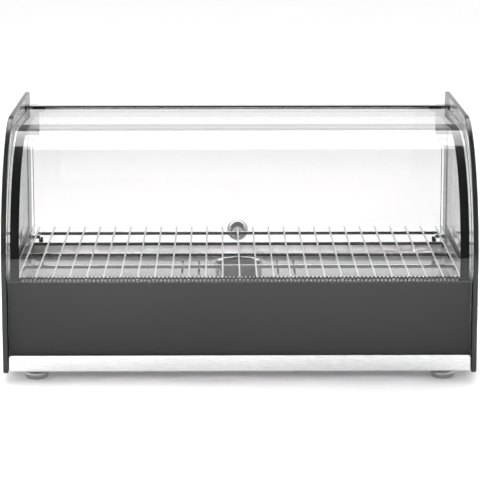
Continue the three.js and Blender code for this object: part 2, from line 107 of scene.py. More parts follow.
SWITCH_X, LAMP_X, DIAL_X, GLAND_X = -190, -152, -100, 205
CONTROL_Z = 42
SCREW_X = 264.2
SCREW_Z = (15, 58)
ROD_DEPTHS = (38, 108, 178, 248, 318)
ROD_HEIGHT = 105
ROD_RADIUS = 2.25
WIRE_COUNT = 27
WIRE_PITCH = 20
WIRE_RADIUS = 1.2
WIRE_HEIGHT = 107.95
CUP_DEPTH = 180
KNOB_HEIGHT = 99
SIDES = {"left": -1, "right": 1}
ENDS = ("front", "rear")


# ---- Outlines ----
def arc(centre, radius, start, end, steps):
    """Points on a circle from one angle to another, in degrees."""
    points = []
    for k in range(steps + 1):
        a = math.radians(start + (end - start) * k / steps)
        points.append((centre[0] + radius * math.cos(a), centre[1] + radius * math.sin(a)))
    return points


def circle(centre, radius, steps=32):
    return arc(centre, radius, 0, 360, steps)[:-1]


def rounded_rect(u0, u1, v0, v1, radius, steps=6):
    """A rectangle with round corners; radius is one number, or four from the lower left, anticlockwise."""
    radii = [radius] * 4 if isinstance(radius, (int, float)) else radius
    corners = [(u0, v0, 180, 1, 1), (u1, v0, 270, -1, 1), (u1, v1, 0, -1, -1), (u0, v1, 90, 1, -1)]
    points = []
    for (u, v, start, su, sv), r in zip(corners, radii):
        if r:
            points += arc((u + su * r, v + sv * r), r, start, start + 90, steps)
        else:
            points.append((u, v))
    return points


def signed_area(loop):
    return sum(a[0] * b[1] - b[0] * a[1] for a, b in zip(loop, loop[1:] + loop[:1])) / 2


def offset(loop, distance):
    """The loop moved inwards by distance at each corner; a negative distance moves it outwards."""
    turn = 1 if signed_area(loop) > 0 else -1
    moved = []
    for k, p in enumerate(loop):
        before, after = Vector(loop[k - 1]), Vector(loop[(k + 1) % len(loop)])
        here = Vector(p)
        n1 = turn * (here - before).orthogonal().normalized()
        n2 = turn * (after - here).orthogonal().normalized()
        mitre = n1 + n2
        mitre *= distance / max(mitre.length_squared / 2, 0.3)
        moved.append(tuple(here + mitre))
    return moved


# ---- Mesh building ----
SHARP_ANGLE = math.radians(32)


def smooth(bm):
    """Smooth shading, but for edges that turn sharply."""
    for face in bm.faces:
        face.smooth = True
    for edge in bm.edges:
        edge.smooth = len(edge.link_faces) == 2 and edge.calc_face_angle(0) < SHARP_ANGLE


def new_object(name, bm, materials):
    """Turns a bmesh in metres into an object of the scene."""
    mesh = bpy.data.meshes.new(name)
    bm.to_mesh(mesh)
    bm.free()
    for material in materials:
        mesh.materials.append(material)
    obj = bpy.data.objects.new(name, mesh)
    bpy.context.scene.collection.objects.link(obj)
    return obj


def make_piece(name, bm, materials, node=None, body="case"):
    """A piece that rides on a body and takes the place of a CAD node, if there is one for it."""
    bmesh.ops.recalc_face_normals(bm, faces=bm.faces)
    smooth(bm)
    obj = new_object(name, bm, materials)
    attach(obj, body)
    if node:
        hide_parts(node)


AXES = {
    "x": lambda u, v, w: (w, u, v),
    "y": lambda u, v, w: (u, w, v),
    "z": lambda u, v, w: (u, v, w),
}


def ring(bm, axis, loop, level):
    """New vertices along a loop of (u, v) points, in the plane across the axis at a level."""
    to_point = AXES[axis]
    return [bm.verts.new(place(*to_point(u, v, level))) for u, v in loop]


def skin(bm, rings, material=0):
    """Quads between neighbouring closed rings that have as many points as each other."""
    for a, b in zip(rings, rings[1:]):
        for k in range(len(a)):
            j = (k + 1) % len(a)
            bm.faces.new((a[k], a[j], b[j], b[k])).material_index = material


def plate(bm, axis, loops, low, high, bevel=0.3, faces=(0, 0, 0)):
    """A flat plate of an outline with holes: loops[0] is the outline, in the plane across the axis.

    faces holds the material numbers of its two faces, its bevels and its edge."""
    flat, stacks = [], []
    for number, loop in enumerate(loops):
        inset = offset(loop, bevel if number == 0 else -bevel)
        levels = [(inset, low), (loop, low + bevel), (loop, high - bevel), (inset, high)]
        stack = [ring(bm, axis, points, level) for points, level in levels]
        for k, material in enumerate((faces[1], faces[2], faces[1])):
            skin(bm, stack[k:k + 2], material)
        flat.append([Vector((u, v, 0)) for u, v in inset])
        stacks.append(stack)
    for end in (0, -1):
        verts = [vert for stack in stacks for vert in stack[end]]
        if len(loops) == 1:
            bm.faces.new(verts).material_index = faces[0]
            continue
        for triangle in tessellate_polygon(flat):
            try:
                bm.faces.new([verts[i] for i in triangle]).material_index = faces[0]
            except ValueError:
                continue
    return bm


def lathe(bm, axis, centre, profile, steps, material=0, base=0):
    """A turned shape about an axis through centre (u, v), of (radius, distance along it from base) pairs."""
    rings = []
    for radius, along in profile:
        loop = [centre] if radius < 1e-6 else circle(centre, radius, steps)
        rings.append(ring(bm, axis, loop, base + along))
    for a, b in zip(rings, rings[1:]):
        for k in range(steps):
            j = (k + 1) % steps
            corners = [a[k % len(a)], a[j % len(a)], b[j % len(b)], b[k % len(b)]]
            unique = list(dict.fromkeys(corners))
            if len(unique) > 2:
                bm.faces.new(unique).material_index = material
    return bm


def ribbed(bm, centre, profile, ribs, steps, phase):
    """A grip about an axis along d, from (radius, place along it, depth of its grooves) triples.

    Each rib has a number of steps; at angle 0 there is a groove with phase 1 and a rib with phase -1."""
    rings = []
    for radius, along, deep in profile:
        loop = []
        for k in range(ribs * steps):
            a = 2 * math.pi * k / (ribs * steps)
            r = radius - deep * (0.5 + phase * 0.5 * math.cos(ribs * a))
            loop.append((centre[0] + r * math.cos(a), centre[1] + r * math.sin(a)))
        rings.append(ring(bm, "y", loop, along))
    skin(bm, rings)
    return rings


def tube(bm, points, radius, sides):
    """A round wire along points in the cabinet's frame, with slightly domed ends."""
    path = [Vector(p) for p in points]
    last = len(path) - 1
    tangents = [(path[min(k + 1, last)] - path[max(k - 1, 0)]).normalized() for k in range(last + 1)]
    side = tangents[0].orthogonal().normalized()
    dome, tip = 0.3, 0.75  # an end's rise and its outermost ring, as shares of the radius
    rings = []

    def around(centre, tangent, r):
        up = tangent.cross(side)
        angles = [2 * math.pi * k / sides for k in range(sides)]
        spots = [centre + side * (r * math.cos(a)) + up * (r * math.sin(a)) for a in angles]
        rings.append([bm.verts.new(place(*spot)) for spot in spots])

    for k, (centre, tangent) in enumerate(zip(path, tangents)):
        side = (side - tangent * side.dot(tangent)).normalized()
        if k == 0:
            around(centre - tangent * radius * dome, tangent, radius * tip)
        around(centre, tangent, radius)
        if k == last:
            around(centre + tangent * radius * dome, tangent, radius * tip)
    skin(bm, rings)
    bm.faces.new(rings[0])
    bm.faces.new(rings[-1])
    return bm


def bend(corner, before, after, radius, steps=6):
    """Points of a round bend at a corner, coming from before and going to after."""
    corner, before, after = Vector(corner), Vector(before), Vector(after)
    a, b = (before - corner).normalized(), (after - corner).normalized()
    start, end = corner + a * radius, corner + b * radius
    return [
        (start * (1 - t) ** 2 + corner * (2 * t * (1 - t)) + end * t**2)
        for t in (k / steps for k in range(steps + 1))
    ]


# ---- Material building ----
GLASS_INDEX = 1.5
NOISE_SPAN = (0.3, 0.7)  # where most of a noise's values lie


class Shader:
    """The node tree of a new material or world, with short calls for what the looks below need."""

    def __init__(self, owner, output="OutputMaterial"):
        self.owner = owner
        owner.use_nodes = True
        self.tree = owner.node_tree
        self.tree.nodes.clear()
        self.output = self.node(output)

    def node(self, kind, **settings):
        made = self.tree.nodes.new("ShaderNode" + kind)
        for key, value in settings.items():
            setattr(made, key, value)
        return made

    def link(self, source, target):
        self.tree.links.new(source, target)

    def join(self, kind, *sources, **settings):
        """A node whose first inputs are linked to the sources."""
        made = self.node(kind, **settings)
        for source, target in zip(sources, made.inputs):
            self.link(source, target)
        return made

    @staticmethod
    def fill(node, **values):
        for key, value in values.items():
            node.inputs[key.replace("_", " ")].default_value = value
        return node

    def coordinates(self, scale=(1, 1, 1)):
        """Object coordinates, which are the row frame's metres, stretched by scale."""
        mapping = self.join("Mapping", self.node("TexCoord").outputs["Object"])
        return self.fill(mapping, Scale=scale).outputs["Vector"]

    def noise(self, scale, detail, stretch=(1, 1, 1)):
        made = self.join("TexNoise", self.coordinates(stretch))
        return self.fill(made, Scale=scale, Detail=detail).outputs["Fac"]

    def span(self, value, low, high, start=NOISE_SPAN[0], end=NOISE_SPAN[1], kind="LINEAR"):
        """Takes values from start to end over to values from low to high."""
        made = self.join("MapRange", value, interpolation_type=kind)
        return self.fill(made, From_Min=start, From_Max=end, To_Min=low, To_Max=high).outputs["Result"]

    def between(self, value, first, second):
        """A colour between two, by a noise value."""
        ramp = self.join("ValToRGB", value)
        for element, position, colour in zip(ramp.color_ramp.elements, NOISE_SPAN, (first, second)):
            element.position = position
            element.color = (*colour, 1)
        return ramp.outputs["Color"]

    def bump(self, height, strength, distance):
        made = self.fill(self.node("Bump"), Strength=strength, Distance=distance)
        self.link(height, made.inputs["Height"])
        return made.outputs["Normal"]

    def finish(self, shader):
        self.link(shader.outputs[0], self.output.inputs["Surface"])
        return self.owner


def surface(
    name, dark, light, rough, metallic=0.0, grain=400, stretch=(1, 1, 1), bump=(0.1, 0.0001), **fixed
):
    """A solid finish: its colour wanders with a wide noise, its roughness and fine bump with a narrow one."""
    s = Shader(bpy.data.materials.new(name))
    shader = s.fill(s.node("BsdfPrincipled"), Metallic=metallic, **fixed)
    wander = s.noise(9, 3)
    fine = s.noise(grain, 5, stretch)
    s.link(s.between(wander, dark, light), shader.inputs["Base Color"])
    s.link(s.span(fine, *rough), shader.inputs["Roughness"])
    s.link(s.bump(fine, *bump), shader.inputs["Normal"])
    return s.finish(shader)


def pane(name, tint, mirror_tint=1.0):
    """Clear glass as two faces that pass a little less than all light and mirror by Fresnel."""
    s = Shader(bpy.data.materials.new(name))
    through = s.fill(s.node("BsdfTransparent"), Color=(*grey(tint), 1))
    mirror = s.fill(s.node("BsdfGlossy"), Color=(*grey(mirror_tint), 1))
    s.link(s.span(s.noise(6, 4), 0.004, 0.01), mirror.inputs["Roughness"])
    # The same reflectance from both sides of a face, as the glass doesn't bend the rays inside it.
    backfacing = s.node("NewGeometry").outputs["Backfacing"]
    index = s.fill(s.join("MapRange", backfacing), To_Min=GLASS_INDEX, To_Max=1 / GLASS_INDEX)
    fresnel = s.node("Fresnel")
    s.link(index.outputs["Result"], fresnel.inputs["IOR"])
    return s.finish(s.join("MixShader", fresnel.outputs[0], through.outputs[0], mirror.outputs[0]))


def grey(value, warm=0.0):
    return (value * (1 + warm), value, value * (1 - warm))


CLEAR = pane("clear_glass", 0.965)
# The glass over the solid print mirrors nothing; the print behind it carries a painted reflection instead.
PRINTED_CLEAR = pane("printed_glass", 0.965, 0.0)
PANEL_CLEAR = pane("panel_glass", 0.955, 0.7)
DOOR_CLEAR = pane("door_glass", 0.97, 0.5)
EDGE = surface("glass_edge", (0.13, 0.15, 0.145), (0.2, 0.22, 0.215), (0.08, 0.2), grain=300)
PANEL_EDGE = surface("panel_edge", grey(0.012), grey(0.02), (0.12, 0.25), grain=300, Specular_IOR_Level=0.4)
FILM = {"grain": 90, "bump": (0.02, 0.00002), "Specular_IOR_Level": 0.06}
PRINT = surface("black_print", grey(0.005), grey(0.0065), (0.4, 0.5), **FILM)
# The front's solid print, far lighter than the black print: a painted reflection of the floor in its glass.
PRINT_PAINTED_REFLECTION = surface("print_painted_reflection", grey(0.046), grey(0.049), (0.4, 0.5), **FILM)
ALONG_X = (0.02, 1, 1)
SATIN = {"metallic": 1.0, "grain": 3200, "stretch": ALONG_X, "bump": (0.2, 0.00001)}
BRUSHED = surface("brushed_stainless", grey(0.8), grey(0.84), (0.22, 0.32), **SATIN)
REAR_SHEET = surface("rear_stainless", grey(0.42), grey(0.47), (0.26, 0.36), **SATIN)
RAIL = surface("rail_steel", grey(0.56), grey(0.6), (0.14, 0.19), **SATIN)
ROLLED = {"grain": 1800, "stretch": ALONG_X, "bump": (0.05, 0.000004)}
DECK = surface("deck_steel", grey(0.36), grey(0.39), (0.1, 0.16), 0.8, **ROLLED)
# A lighter, half-diffuse copy of the deck steel for the deck's rear lip and the rear sheet's hem: painted
# light.
PAINTED_LIGHT_STEEL = surface("painted_light_steel", grey(0.88), grey(0.91), (0.34, 0.44), 0.4, **ROLLED)
FOOT = surface("foot_chrome", grey(0.42), grey(0.48), (0.08, 0.16), 1.0, 120, bump=(0.02, 0.00002))
CUP_STEEL = surface("spun_steel", grey(0.5), grey(0.6), (0.12, 0.24), 1.0, 260, (1, 1, 40), (0.15, 0.00003))
CLAMP = surface("satin_clamp", grey(0.27), grey(0.32), (0.35, 0.5), 0.9, 600, bump=(0.12, 0.00003))
CHROME = surface("chrome", grey(0.82), grey(0.88), (0.03, 0.09), 1.0, 120, bump=(0.02, 0.00002))
WIRE = surface("chromed_wire", grey(0.6), grey(0.66), (0.1, 0.16), 1.0, 500, bump=(0.03, 0.00001))
KNOB = surface("satin_chrome", grey(0.36), grey(0.42), (0.13, 0.19), 0.7, 300, bump=(0.03, 0.00002))
ZINC = surface("satin_zinc", grey(0.3), grey(0.38), (0.38, 0.55), 0.85, 600, bump=(0.15, 0.00004))
PLASTIC = surface("black_plastic", grey(0.012), grey(0.02), (0.38, 0.55), 0.0, 1800, bump=(0.35, 0.00006))
RUBBER = surface("black_rubber", grey(0.012), grey(0.02), (0.65, 0.85), 0.0, 900, bump=(0.3, 0.0001))
WASHER = surface("grey_washer", grey(0.36), grey(0.4), (0.4, 0.5), 0.0, 900, bump=(0.1, 0.00003))
NYLON = surface("nylon", grey(0.72, 0.02), grey(0.8, 0.02), (0.35, 0.5), 0.0, 400)
LENS = surface("red_lens", (0.38, 0.012, 0.01), (0.5, 0.02, 0.014), (0.08, 0.16), 0.0, 200, Coat_Weight=0.6)
BOARD = surface("mineral_board", (0.5, 0.46, 0.38), (0.62, 0.58, 0.5), (0.8, 0.95), 0.0, 900)
BRASS = surface("brass", (0.5, 0.36, 0.13), (0.62, 0.46, 0.18), (0.2, 0.4), 1.0, 300)
MARK = surface("white_marking", grey(0.75), grey(0.8), (0.4, 0.5), 0.0, 900)
DARK_MARK = surface("dark_marking", grey(0.02), grey(0.03), (0.4, 0.5), 0.0, 900)


# ---- Side panels and their print ----
def side_outline():
    """The side panel's outline in (d, h): a vertical front edge that bends over into a level top edge."""
    chamfer, arc_end = 2.5, 112
    curve = arc((PANEL_RADIUS, CURVE_START), PANEL_RADIUS, 180, arc_end, 40)
    end = Vector(curve[-1])
    reach = (PANEL_HEIGHT - end.y) / -math.cos(math.radians(arc_end))
    handle = Vector((end.x + reach * math.sin(math.radians(arc_end)), PANEL_HEIGHT))
    level = handle + Vector((reach, 0))
    blend = [
        tuple(end * (1 - t) ** 2 + handle * (2 * t * (1 - t)) + level * t**2)
        for t in (k / 8 for k in range(1, 9))
    ]
    return [(chamfer, 0), (0, chamfer), *curve, *blend] + [
        (PANEL_DEPTH - chamfer, PANEL_HEIGHT),
        (PANEL_DEPTH, PANEL_HEIGHT - chamfer),
        (PANEL_DEPTH, chamfer),
        (PANEL_DEPTH - chamfer, 0),
    ]


def punched_row(bm, to_point, start, count, low, high, centre, radius):
    """A row of printed cells, each with a round hole left clear in it."""
    half = DOT_PITCH / 2
    for k in range(count):
        u0 = start + DOT_PITCH * k
        middle = u0 + half
        corners = rounded_rect(u0, u0 + DOT_PITCH, low, high, 0)
        angles = {2 * math.pi * n / 16 for n in range(16)}
        angles |= {math.atan2(v - centre, u - middle) % (2 * math.pi) for u, v in corners}
        inner, outer = [], []
        for a in sorted(angles):
            c, s = math.cos(a), math.sin(a)
            across = half / max(abs(c), 1e-9)
            along = ((high - centre) if s > 0 else (centre - low)) / max(abs(s), 1e-9)
            reach = min(across, along)
            inner.append(bm.verts.new(place(*to_point(middle + radius * c, centre + radius * s))))
            outer.append(bm.verts.new(place(*to_point(middle + reach * c, centre + reach * s))))
        skin(bm, [inner, outer])


def film_patch(bm, to_point, outline, material=0):
    """One flat face of print, of an outline in the film's own (u, v)."""
    face = bm.faces.new([bm.verts.new(place(*to_point(u, v))) for u, v in outline])
    face.material_index = material


def dotted_edge(bm, to_point, half, middle=0):
    """The print's top edge: a row of clear holes, a narrow band and a scalloped rim."""
    count = int(2 * half / DOT_PITCH)
    start = middle - count * DOT_PITCH / 2
    end = start + count * DOT_PITCH
    low, mid, high = PRINT_TOP, PRINT_TOP + 4, PRINT_TOP + PRINT_RIM
    hole_centre, hole_radius, scallop_radius = low + 2.1, 1.75, 1.5
    punched_row(bm, to_point, start, count, low, mid, hole_centre, hole_radius)
    film_patch(bm, to_point, rounded_rect(start, end, mid, high, 0))
    for k in range(count):
        scallop = arc((start + DOT_PITCH * (k + 0.5), high), scallop_radius, 0, 180, 10)
        film_patch(bm, to_point, scallop)
    return start, end


def side_panels():
    for side, sign in SIDES.items():
        low, high = sorted((sign * INNER, sign * WIDTH_HALF))
        name = f"side_panel_{side}"
        hole = circle(PIVOT, BUSH_RADIUS + 0.3, 40)
        bm = plate(bmesh.new(), "x", [side_outline(), hole], low, high, 0.7, (0, 1, 1))
        make_piece(f"{name}_glass", bm, [PANEL_CLEAR, PANEL_EDGE], name)
        make_piece(f"side_print_{side}", side_print(sign * (INNER + FILM_INSET)), [PRINT])

        ring_in, ring_out, edge = PIN_RADIUS + 0.4, BUSH_RADIUS - 0.4, 0.4
        profile = [(ring_in, low), (ring_out, low), (BUSH_RADIUS, low + edge)]
        profile += [(BUSH_RADIUS, high - edge), (ring_out, high), (ring_in, high), (ring_in, low)]
        bm = lathe(bmesh.new(), "x", PIVOT, profile, 40)
        bush = f"pivot_bush_{side}"
        make_piece(f"{bush}_ring", bm, [ZINC], bush)


def side_print(x):
    """The print in a side panel: solid below, with a dotted edge between two plain corners."""

    def on_film(u, v):
        return x, u, v

    bm = bmesh.new()
    middle, margin = PANEL_DEPTH / 2, 4
    first, last = dotted_edge(bm, on_film, middle - margin, middle)
    rim = 2.2
    rear = PANEL_DEPTH - rim
    bottom, top = 1.4, PRINT_TOP + PRINT_RIM
    film_patch(bm, on_film, rounded_rect(rim, rear, bottom, PRINT_TOP, (2.4, 2.4, 0, 0)))
    for start, end in ((rim, first), (last, rear)):
        film_patch(bm, on_film, rounded_rect(start, end, PRINT_TOP, top, 0))
    return bm


# ---- Front glass ----
def glass_point(s, depth=0.0):
    """The point (d, h) at arc length s up the front glass's outer face, moved inwards by depth."""
    if s <= GLASS_RISE:
        return GLASS_FRONT + depth, GLASS_BOTTOM + s
    angle = min((s - GLASS_RISE) / GLASS_RADIUS, GLASS_SWEEP)
    r = GLASS_RADIUS - depth
    d = GLASS_FRONT + GLASS_RADIUS - r * math.cos(angle)
    h = CURVE_START + r * math.sin(angle)
    beyond = s - GLASS_RISE - GLASS_RADIUS * GLASS_SWEEP
    if beyond > 0:
        d += beyond * math.cos(ROOF_SLOPE)
        h -= beyond * math.sin(ROOF_SLOPE)
    return d, h


def glass_length(d):
    """The arc length at which the roof reaches depth d."""
    arc_end = GLASS_FRONT + GLASS_RADIUS - GLASS_RADIUS * math.cos(GLASS_SWEEP)
    return GLASS_RISE + GLASS_RADIUS * GLASS_SWEEP + (d - arc_end) / math.cos(ROOF_SLOPE)


def front_glass():
    bend_end = GLASS_RISE + GLASS_RADIUS * GLASS_SWEEP
    stations = [0, PRINT_TOP - GLASS_BOTTOM]
    stations += [GLASS_RISE + (bend_end - GLASS_RISE) * k / 60 for k in range(61)]
    stations.append(glass_length(GLASS_REAR))
    outer = [glass_point(s) for s in stations]
    inner = [glass_point(s, GLASS_THICKNESS) for s in stations]
    bevel = 0.5
    bm = plate(bmesh.new(), "x", [outer + inner[::-1]], -GLASS_HALF, GLASS_HALF, bevel, (1, 1, 0))
    foot = place(0, 0, GLASS_BOTTOM + bevel + 0.1).z
    print_top = place(0, 0, PRINT_TOP).z
    for face in bm.faces:
        middle = face.calc_center_median()
        if middle.z < foot:
            face.material_index = 1
        # Below the print's top the glass's faces mirror nothing, as the print behind them carries a painted
        # reflection.
        elif middle.z < print_top and face.material_index == 0:
            face.material_index = 2
    make_piece("front_glass_pane", bm, [CLEAR, EDGE, PRINTED_CLEAR], "front_glass")


def front_print():
    """The black print in the front glass: solid below, where it is lighter with a painted reflection, a
    dotted edge, side stripes and two rear corners.
    """
    depth = GLASS_THICKNESS - FILM_INSET

    def on_film(x, s):
        return (x, *glass_point(s, depth))

    def on_wall(x, h):
        return x, GLASS_FRONT + depth, h

    bm = bmesh.new()
    stripe_out = GLASS_HALF - STRIPE_MARGIN
    stripe_in = stripe_out - STRIPE_WIDTH
    bottom, top = 3, PRINT_TOP + PRINT_RIM
    first, last = dotted_edge(bm, on_wall, stripe_in - 1)
    edge = GLASS_HALF - 0.4
    # The solid print takes the print with the painted reflection.
    film_patch(bm, on_wall, rounded_rect(-edge, edge, bottom, PRINT_TOP, 0), 1)
    for sign, end in ((-1, first), (1, last)):
        outline = [(end, PRINT_TOP), (sign * edge, PRINT_TOP), (sign * edge, PRINT_TOP + 1)]
        outline += [(sign * stripe_out, PRINT_TOP + 4), (sign * stripe_out, top), (end, top)]
        film_patch(bm, on_wall, outline)
    start, band = top - GLASS_BOTTOM, glass_length(SEAL_LOW.y - REAR_BAND)
    rear = glass_length(GLASS_REAR) - 0.6
    steps, radius = 72, 7
    for sign in SIDES.values():
        rows = []
        for k in range(steps + 1):
            s = start + (band - start) * k / steps
            rows.append([bm.verts.new(place(*on_film(sign * x, s))) for x in (stripe_in, stripe_out)])
        for a, b in zip(rows, rows[1:]):
            bm.faces.new((a[0], a[1], b[1], b[0]))
        corner = [(stripe_in, band)] + arc((stripe_in - radius, band - radius), radius, 0, 90, 8)
        film_patch(bm, on_film, [(sign * x, s) for x, s in corner])
    inside = stripe_in - radius
    for sign in SIDES.values():
        patch = rounded_rect(inside, stripe_out, band, rear, 0)
        film_patch(bm, on_film, [(sign * x, s) for x, s in patch])
    make_piece("front_glass_print", bm, [PRINT, PRINT_PAINTED_REFLECTION])


# ---- Bent sheet ----
def rounded(points, radius, steps=5):
    """An open line with its inner corners rounded."""
    path = [Vector(points[0])]
    for k in range(1, len(points) - 1):
        path += bend(points[k], points[k - 1], points[k + 1], radius, steps)
    path.append(Vector(points[-1]))
    return [tuple(p) for p in path]


def sheet_section(line):
    """The closed section of a steel sheet bent along a line, lying to the line's left."""
    path = [Vector(p) for p in line]
    left = []
    for k, p in enumerate(path):
        ahead = path[min(k + 1, len(path) - 1)] - p
        behind = p - path[max(k - 1, 0)]
        n1 = Vector((-ahead.y, ahead.x)).normalized() if ahead.length else None
        n2 = Vector((-behind.y, behind.x)).normalized() if behind.length else n1
        n1 = n1 or n2
        mitre = n1 + n2
        left.append(tuple(p + mitre * (2 * SHEET / mitre.length_squared)))
    return [tuple(p) for p in path] + left[::-1]


def folded(bm, axis, line, low, high, bevel=0.2, material=0):
    """A length of bent steel sheet along an axis."""
    return plate(bm, axis, [sheet_section(line)], low, high, bevel, (material, material, material))


def rear_rail():
    """The stainless rail over the roof's rear edge, and the rubber seal in front of it."""
    lo, hi = cabinet_box("rear_top_rail")
    line = rounded([(lo.y, hi.z), (hi.y, hi.z), (hi.y, lo.z)], 1.4)
    bm = folded(bmesh.new(), "x", line[::-1], lo.x, hi.x, 0.25)
    make_piece("rear_rail_bend", bm, [RAIL], "rear_top_rail")
    lo, hi = SEAL_LOW, SEAL_HIGH
    radius = 0.9
    section = [(lo.y, lo.z), (hi.y, lo.z), (hi.y, hi.z - 0.5), (hi.y - 0.5, hi.z)]
    section += arc((lo.y + radius, hi.z - radius), radius, 90, 180, 5)
    bm = plate(bmesh.new(), "x", [section], lo.x, hi.x, 0.2)
    make_piece("rear_rail_seal_bead", bm, [RUBBER], "rear_rail_seal")


def front_strip():
    """The brushed channel along the foot of the front glass; its face has round top corners."""
    lo, hi = cabinet_box("front_trim_strip")
    radius = 3.4
    bm = bmesh.new()
    inset = [0.0, 0.15, 0.4, 0.8, 1.3, 1.9, 2.6, radius]
    stations = [lo.x + t for t in inset] + [hi.x - t for t in reversed(inset)]
    rows = []
    for x in stations:
        t = min(x - lo.x, hi.x - x, radius)
        top = hi.z - (radius - math.sqrt(max(radius**2 - (radius - t) ** 2, 0)))
        line = rounded([(hi.y, lo.z), (lo.y, lo.z), (lo.y, top)], 1.6)
        rows.append(ring(bm, "x", sheet_section(line[::-1]), x))
    skin(bm, rows)
    bm.faces.new(rows[0])
    bm.faces.new(rows[-1])
    make_piece("front_strip_channel", bm, [BRUSHED], "front_trim_strip")


# ---- Rear panel with its screws and bumpers ----
def rear_panel():
    lo, hi = REAR_LOW, REAR_HIGH
    face = hi.y
    x, z, half_x, half_z = SWITCH_X, CONTROL_Z, 9.3, 13.3
    holes = [
        rounded_rect(x - half_x, x + half_x, z - half_z, z + half_z, 0.8, 3),
        circle((LAMP_X, CONTROL_Z), 5.8, 32),
        circle((DIAL_X, CONTROL_Z), 4.2, 32),
        circle((GLAND_X, CONTROL_Z), 8.3, 40),
    ]
    for sign in SIDES.values():
        holes += [circle((sign * SCREW_X, z), 2.3, 20) for z in SCREW_Z]
    vent_count, vent_first, vent_pitch, vent_half, vent_height = 8, -30, 24, 8, 3
    for k in range(vent_count):
        x = vent_first + vent_pitch * k
        for z in (26, 56):
            holes.append(rounded_rect(x - vent_half, x + vent_half, z, z + vent_height, 1.45, 5))
    outline = rounded_rect(lo.x, hi.x, lo.z, hi.z - 1.4, (1.5, 1.5, 0, 0))
    bm = plate(bmesh.new(), "y", [outline, *holes], face - SHEET, face, 0.2)
    hem = DECK_HALF - 2 * SHEET
    line = rounded([(face - 8.2, hi.z), (face, hi.z), (face, hi.z - 2.2)], 1.3)
    # The hem takes the lighter steel with painted light.
    folded(bm, "x", line[::-1], -hem, hem, material=1)
    make_piece("rear_panel_sheet", bm, [REAR_SHEET, PAINTED_LIGHT_STEEL], "rear_panel")
    for side, sign in SIDES.items():
        for word, z in zip(("lower", "upper"), SCREW_Z):
            screw = f"rear_screw_{word}_{side}"
            make_piece(f"{screw}_head", cross_screw((sign * SCREW_X, z), face), [ZINC], screw)
        bumper = f"door_bumper_{side}"
        bm = bumper_block(*cabinet_box(bumper), face)
        make_piece(f"{bumper}_block", bm, [RUBBER], bumper)


def cross_screw(centre, face):
    """A pan head with a cross recess, on its shank."""
    bm = bmesh.new()
    x, z = centre
    shank, head = 1.9, 3.6
    lathe(bm, "y", centre, [(0, -9), (1.4, -9), (shank, -8), (shank, 0.3)], 20, base=face)
    profile = [(shank, 0.3), (head, 0.3), (head, 0.8), (3.2, 1.7), (2.4, 2.3)]
    lathe(bm, "y", centre, profile, 32, base=face)
    half, reach = 0.38, 1.5
    cross = []
    for turn in range(4):
        c, s = math.cos(turn * math.pi / 2), math.sin(turn * math.pi / 2)
        for u, v in ((half, -half), (reach, -half), (reach, half)):
            cross.append((x + u * c - v * s, z + u * s + v * c))
    plate(bm, "y", [circle(centre, 2.42, 32), cross], face + 1.2, face + 2.32, 0.05)
    lathe(bm, "y", centre, [(0, 1.0), (2.2, 1.0), (2.2, 1.2)], 16, base=face)
    return bm


def bumper_block(low, high, face):
    half = 2.5
    x = (low.x + high.x) / 2
    section = [(face + 0.1, low.z), (high.y - 0.8, low.z), (high.y, low.z + 1.2)]
    section += [(high.y, high.z - 1.6), (high.y - 1.2, high.z), (face - 1.2, high.z)]
    section += [(face - 2, high.z - 0.9), (face - 5, low.z + 5), (face - 5, low.z)]
    return plate(bmesh.new(), "x", [section], x - half, x + half, 0.5)


# ---- Heated deck, its studs, the rack and the water cup ----
def heated_deck():
    lo, hi = DECK_LOW, DECK_HIGH
    floor_low, radius, margin = DECK_TOP - SHEET, 2.6, 8
    flat = DECK_HALF - margin
    slot_half, slot_ends = 1.1, (205, 294)
    slots = [rounded_rect(x - slot_half, x + slot_half, *slot_ends, 1.05, 5) for x in (-71, -50, 50, 71)]
    outline = rounded_rect(-flat, flat, lo.y + margin, hi.y - margin, 0)
    bm = plate(bmesh.new(), "z", [outline, *slots], floor_low, DECK_TOP, 0.15)
    for sign in SIDES.values():
        wall = sign * DECK_HALF
        line = rounded([(sign * flat, floor_low), (wall, floor_low), (wall, hi.z)], radius)
        folded(bm, "y", line if sign > 0 else line[::-1], lo.y, hi.y, 0.3)
    front = rounded([(lo.y, hi.z - 6), (lo.y, floor_low), (lo.y + margin, floor_low)], radius)
    lip = 83.2
    rear = rounded([(hi.y - margin, floor_low), (hi.y, floor_low), (hi.y, lip)], 7, 9)
    inside = DECK_HALF - SHEET
    for ends in ((-flat, flat), (-inside, -flat), (flat, inside)):
        folded(bm, "x", front, *ends)
        # The rear lip takes the lighter steel with painted light.
        folded(bm, "x", rear, *ends, material=1)
    make_piece("heated_deck_tray", bm, [DECK, PAINTED_LIGHT_STEEL], "heated_deck")


def rack_studs():
    """The studs on the deck's side walls that carry the rack."""
    length = 11
    profile = [(0, 0), (3.8, 0), (3.8, 0.9), (3.5, 1.2), (3, 1.4), (2.6, 2.4), (2.6, 9.4), (3, 9.9)]
    profile += [(3, 10.6), (2.5, length), (0, length)]
    for side, sign in SIDES.items():
        for end in ENDS:
            stud = f"rack_stud_{end}_{side}"
            low, high = cabinet_box(stud)
            root, tip = (high.x, low.x) if sign > 0 else (low.x, high.x)
            middle = (low + high) / 2
            turned = [(r, root + (tip - root) * t / length) for r, t in profile]
            bm = lathe(bmesh.new(), "x", (middle.y, middle.z), turned, 28)
            make_piece(f"{stud}_pin", bm, [CHROME], stud)


